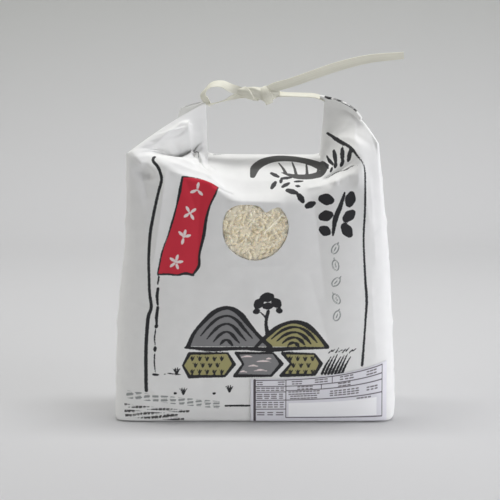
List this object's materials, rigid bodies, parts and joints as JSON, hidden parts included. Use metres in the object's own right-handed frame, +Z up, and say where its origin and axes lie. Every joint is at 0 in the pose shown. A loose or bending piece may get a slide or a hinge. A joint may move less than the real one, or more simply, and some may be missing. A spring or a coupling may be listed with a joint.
{
  "type": "paper rice sack",
  "caption": "Filled white paper rice sack with a rolled top drawn up and tied with flat paper tape, a heart-shaped clear window and a label slip.",
  "frame": {"origin": "middle of the flat base, on the surface the sack stands on", "axes": "+Z up towards the tied top, the printed front with its window faces -Y, +X to the right seen from the front"},
  "size_m": [0.2132, 0.0753, 0.2702],
  "materials": {
    "sack_paper": "matte",
    "label_paper": "satin",
    "tape_paper": "matte",
    "rice": "satin",
    "clear_film": "gloss"
  },
  "bodies": {
    "root": {"sack": "sack_paper", "rice_in_window": "rice", "window_film": "clear_film", "label": "label_paper", "tie": "tape_paper"}
  },
  "joints": []
}
